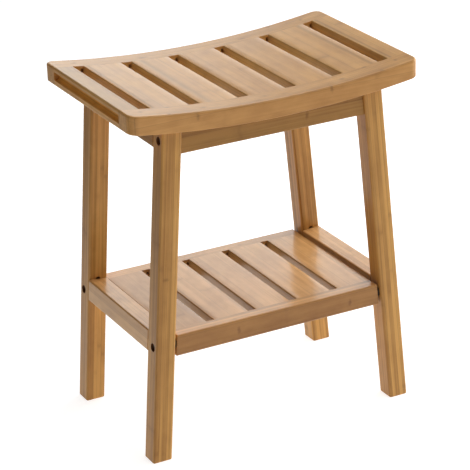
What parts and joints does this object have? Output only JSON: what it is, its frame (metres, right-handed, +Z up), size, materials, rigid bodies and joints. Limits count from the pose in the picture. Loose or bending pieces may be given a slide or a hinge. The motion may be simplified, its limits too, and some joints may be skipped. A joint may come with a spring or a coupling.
{
  "type": "shower stool",
  "caption": "Bamboo shower stool: a dished, slatted seat on splayed legs, with a slatted shelf low down between them.",
  "frame": {"origin": "on the floor, under the middle of the seat", "axes": "+X along the seat to its right end, +Y to the back, +Z up; the front faces -Y"},
  "size_m": [0.392, 0.25, 0.4596],
  "materials": {
    "seat_bamboo": "lacquered bamboo, satin to glossy, pale on the slats",
    "frame_bamboo": "lacquered bamboo with lengthwise strips, satin",
    "shelf_bamboo": "lacquered bamboo, glossy on the slats",
    "zinc_steel": "dull zinc plating",
    "black_rubber": "matt"
  },
  "bodies": {
    "root": {"seat_front_rail": "seat_bamboo", "seat_back_rail": "seat_bamboo", "seat_left_end_board": "seat_bamboo", "seat_right_end_board": "seat_bamboo", "seat_slat_1": "seat_bamboo", "seat_slat_2": "seat_bamboo", "seat_slat_3": "seat_bamboo", "seat_slat_4": "seat_bamboo", "seat_slat_5": "seat_bamboo", "seat_spacers": "seat_bamboo", "leg_front_left": "frame_bamboo", "leg_front_right": "frame_bamboo", "leg_back_left": "frame_bamboo", "leg_back_right": "frame_bamboo", "apron_front": "frame_bamboo", "apron_back": "frame_bamboo", "apron_left": "frame_bamboo", "apron_right": "frame_bamboo", "stretcher_left": "frame_bamboo", "stretcher_right": "frame_bamboo", "shelf_front_rail": "shelf_bamboo", "shelf_back_rail": "shelf_bamboo", "shelf_slat_1": "shelf_bamboo", "shelf_slat_2": "shelf_bamboo", "shelf_slat_3": "shelf_bamboo", "shelf_slat_4": "shelf_bamboo", "shelf_slat_5": "shelf_bamboo", "shelf_spacers": "shelf_bamboo", "frame_bolts": "zinc_steel", "barrel_nuts": "zinc_steel", "seat_screws": "zinc_steel", "shelf_washers": "black_rubber"}
  },
  "joints": []
}
